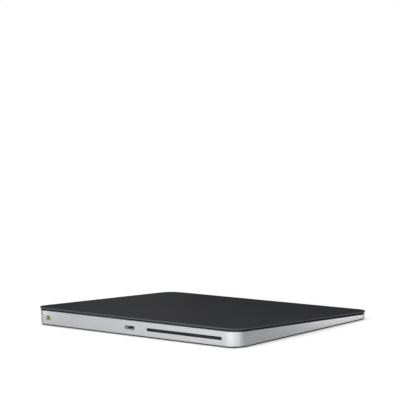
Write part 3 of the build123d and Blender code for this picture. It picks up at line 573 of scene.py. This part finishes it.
# The finish of each material slot, and of the two nodes that have one of their own
slot_finishes = {
    "deck_glass": deck_glass(),
    "black_plastic": plastic("moulded_black", (0.004, 0.004, 0.0045), roughness=0.8, gloss=0.0),
    "bond_film": soft_silicone("clear_adhesive", (0.7, 0.7, 0.68), roughness=0.2, clearness=0.7),
    "sensor_board": touch_sensor_board(),
    "logic_board": circuit_board(),
    "chip_resin": plastic("chip_resin", (0.02, 0.02, 0.021), roughness=0.6,
                          grain=0.08 * MM, depth=0.004 * MM),
    "connector_plastic": board_connector(),
    "spring_steel": metal("spring_steel", (0.55, 0.55, 0.54), roughness=0.3),
    "core_steel": laminated_steel(),
    "screw_steel": metal("plated_screws", (0.5, 0.5, 0.5), roughness=0.35, grain=(1, 1, 8)),
    "gel_rubber": soft_silicone("gel_rubber", (0.5, 0.5, 0.55), roughness=0.35, clearness=0.5),
    "flex_film": flat_cable(),
    "coil_copper": wound_copper(),
    "case_aluminium": case_aluminium(),
    "knob_aluminium": knob_aluminium(),
    "cover_plastic": plastic("grey_cover", (0.013, 0.0135, 0.0145), roughness=0.7, gloss=0.15),
    "window_plastic": plastic("window_plastic", (0.009, 0.0094, 0.0102), roughness=0.5, gloss=0.08),
    "port_steel": metal("plated_sheet", (0.7, 0.7, 0.68), roughness=0.38),
    "contact_gold": metal("gold_plate", (0.58, 0.49, 0.34), roughness=0.3),
    "green_paint": green_print(),
    "passive_ceramic": ceramic_passives(),
    "cell_pouch": cell_pouch(),
    "tape": fibre_tape(),
    "foot_rubber": plastic("soft_rubber", (0.42, 0.43, 0.44), roughness=0.8, grain=0.15 * MM),
}
node_finishes = {"slide_switch": board_switch(), "port_shell": port_shell()}
for part in frame["record"]["subparts"]:
    finish = node_finishes.get(part["node"], slot_finishes[part["material_slot"]])
    frame["nodes"][part["node"]].material_slots[0].material = finish.material


def add_object(name, data):
    """A new object in the scene, which shows that mesh, light or camera."""
    added = bpy.data.objects.new(name, data)
    bpy.context.scene.collection.objects.link(added)
    return added


def bending_copy(node, start, end):
    """A copy of a springy CAD piece, cut finely enough to bend between start and end under the deck."""
    mesh = frame["nodes"][node].data.copy()
    shape = bmesh.new()
    shape.from_mesh(mesh)
    along = Vector(end) - Vector(start)
    for cut in range(bend_cuts + 1):
        place = Vector(start) + along * cut / bend_cuts
        everything = shape.verts[:] + shape.edges[:] + shape.faces[:]
        bmesh.ops.bisect_plane(shape, geom=everything, plane_co=place, plane_no=along)
    shape.to_mesh(mesh)
    shape.free()
    mesh.attributes.remove(mesh.attributes["custom_normal"])
    mesh.shade_smooth()
    mesh.set_sharp_from_angle(angle=smooth_angle)
    piece = add_object(f"bending_{node}", mesh)
    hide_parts(node)
    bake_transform(piece)


def bending_flexures():
    """Bendable copies of the four flexures, cut from their strain gauges, where the tray holds them, to their tip
    discs, which the deck carries.
    """
    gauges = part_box("strain_gauges")
    for side in ("left", "right"):
        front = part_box(f"flexure_front_{side}")[0]
        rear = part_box(f"flexure_rear_{side}")[1]
        bending_copy(f"flexure_front_{side}",
                     (0, gauges[0].y, 0), (0, front.y + tip_disc_width, 0))
        bending_copy(f"flexure_rear_{side}",
                     (0, gauges[1].y, 0), (0, rear.y - tip_disc_width, 0))


def bending_cables():
    """Bendable copies of the flat cables, cut from their lower ends to their upper ends, which the deck takes with
    it.
    """
    lowest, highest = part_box("sensor_cable")
    bending_copy("sensor_cable", (0, 0, lowest.z), (0, 0, highest.z))
    press = [joint for joint in frame["joints"] if joint["name"] == "touch_press"][0]
    down = Vector(press["axis"])
    depths = [vertex.co.dot(down) for vertex in frame["nodes"]["gauge_cables"].data.vertices]
    bending_copy("gauge_cables", down * max(depths), down * min(depths))


def direction(azimuth, elevation):
    """The unit vector from the object to a place seen at that azimuth and elevation."""
    a = radians(azimuth)
    e = radians(elevation)
    return Vector((sin(a) * cos(e), -cos(a) * cos(e), sin(e)))


def rectangle(name, width, height):
    """A flat rectangle that lies face up about its own middle."""
    x = width / 2
    y = height / 2
    mesh = bpy.data.meshes.new(name)
    mesh.from_pydata([(-x, -y, 0), (x, -y, 0), (x, y, 0), (-x, y, 0)], [], [(0, 1, 2, 3)])
    return add_object(name, mesh)


def seen_directly(tree):
    """1 for rays from the camera and for those that metal and glass send on, and 0 for the rest."""
    path = tree.nodes.new("ShaderNodeLightPath")
    total = path.outputs["Is Camera Ray"]
    for kind in ("Is Glossy Ray", "Is Transmission Ray"):
        larger = tree.nodes.new("ShaderNodeMath")
        larger.operation = "MAXIMUM"
        tree.links.new(total, larger.inputs[0])
        tree.links.new(path.outputs[kind], larger.inputs[1])
        total = larger.outputs["Value"]
    return total


def studio_world():
    """Soft light from all round, which the camera, metal and glass see as a white backdrop."""
    world = bpy.data.worlds.new("studio")
    bpy.context.scene.world = world
    world.use_nodes = True
    tree = world.node_tree
    strength = tree.nodes.new("ShaderNodeMix")
    strength.inputs["A"].default_value = ambient_strength
    strength.inputs["B"].default_value = background_strength
    background = tree.nodes["Background"]
    background.inputs["Color"].default_value = (1, 1, 1, 1)
    tree.links.new(seen_directly(tree), strength.inputs["Factor"])
    tree.links.new(strength.outputs["Result"], background.inputs["Strength"])


def studio_floor():
    """A pale floor that takes the object's shadow, lifted to white where it is seen directly."""
    floor = rectangle("floor", floor_size, floor_size)
    floor.location.z = -floor_below_feet
    paper = Finish("floor_paper", Base_Color=(*floor_colour, 1), Roughness=1.0, Specular_IOR_Level=0.0,
                   Emission_Color=(1, 1, 1, 1))
    away = paper.distance_from(overhead_place, stretch=(1, 1, 0))
    lift = paper.remap(away, floor_lift_under_overhead, floor_lift, 0.0, overhead_reach, curve="SMOOTHSTEP")
    seen = seen_directly(paper.material.node_tree)
    paper.put(paper.combine("MULTIPLY", seen, lift), "Emission Strength")
    floor.data.materials.append(paper.material)


def stand(panel, azimuth, distance, bottom, height):
    """Stands a panel upright at that azimuth, with its face to the object's middle."""
    out = direction(azimuth, 0)
    panel.location = out * distance + Vector((0, 0, bottom + height / 2))
    panel.rotation_mode = "QUATERNION"
    panel.rotation_quaternion = out.to_track_quat("Z", "Y")


def area_lamp(name, width, height, radiance):
    """A rectangular lamp that shines down, and that the camera itself doesn't see."""
    light = bpy.data.lights.new(name, "AREA")
    light.shape = "RECTANGLE"
    light.size = width
    light.size_y = height
    light.energy = radiance * pi * width * height
    lamp = add_object(name, light)
    lamp.visible_camera = False
    return lamp


def overhead_softbox():
    """A large softbox flat above the object."""
    lamp = area_lamp("overhead_softbox", overhead_size, overhead_size, overhead_radiance)
    lamp.location = overhead_place


def softbox(name, azimuth, distance, bottom, width, height, radiance):
    """A softbox that stands beside the object."""
    stand(area_lamp(name, width, height, radiance), azimuth, distance, bottom, height)


def dark_card(name, azimuth, distance, bottom, width, height):
    """A dark card that only shows in the aluminium and the glass."""
    card = rectangle(name, width, height)
    stand(card, azimuth, distance, bottom, height)
    card.data.materials.append(Finish(name, Base_Color=(*card_colour, 1), Roughness=1.0).material)
    card.visible_camera = False
    card.visible_diffuse = False
    card.visible_shadow = False


def photo_camera():
    """The photograph's camera, placed so that it sees the model's origin where the fit puts it."""
    camera = bpy.data.cameras.new("photo_camera")
    camera.sensor_width = sensor_width
    camera.lens = lens_length
    placed = add_object("photo_camera", camera)
    back = direction(camera_azimuth, camera_elevation)
    right = Vector((cos(radians(camera_azimuth)), sin(radians(camera_azimuth)), 0))
    level = Matrix((right, back.cross(right), back)).transposed()
    turn = level @ Matrix.Rotation(radians(camera_roll), 3, "Z")
    origin_seen = Vector((origin_right_of_axis, origin_above_axis, -camera_distance))
    placed.matrix_world = Matrix.LocRotScale(turn @ -origin_seen, turn, None)
    bpy.context.scene.camera = placed


bending_flexures()
bending_cables()
studio_world()
studio_floor()
for name, settings in softboxes.items():
    softbox(name, *settings)
overhead_softbox()
for name, settings in dark_cards.items():
    dark_card(name, *settings)
photo_camera()
bpy.context.scene.view_settings.view_transform = "Standard"
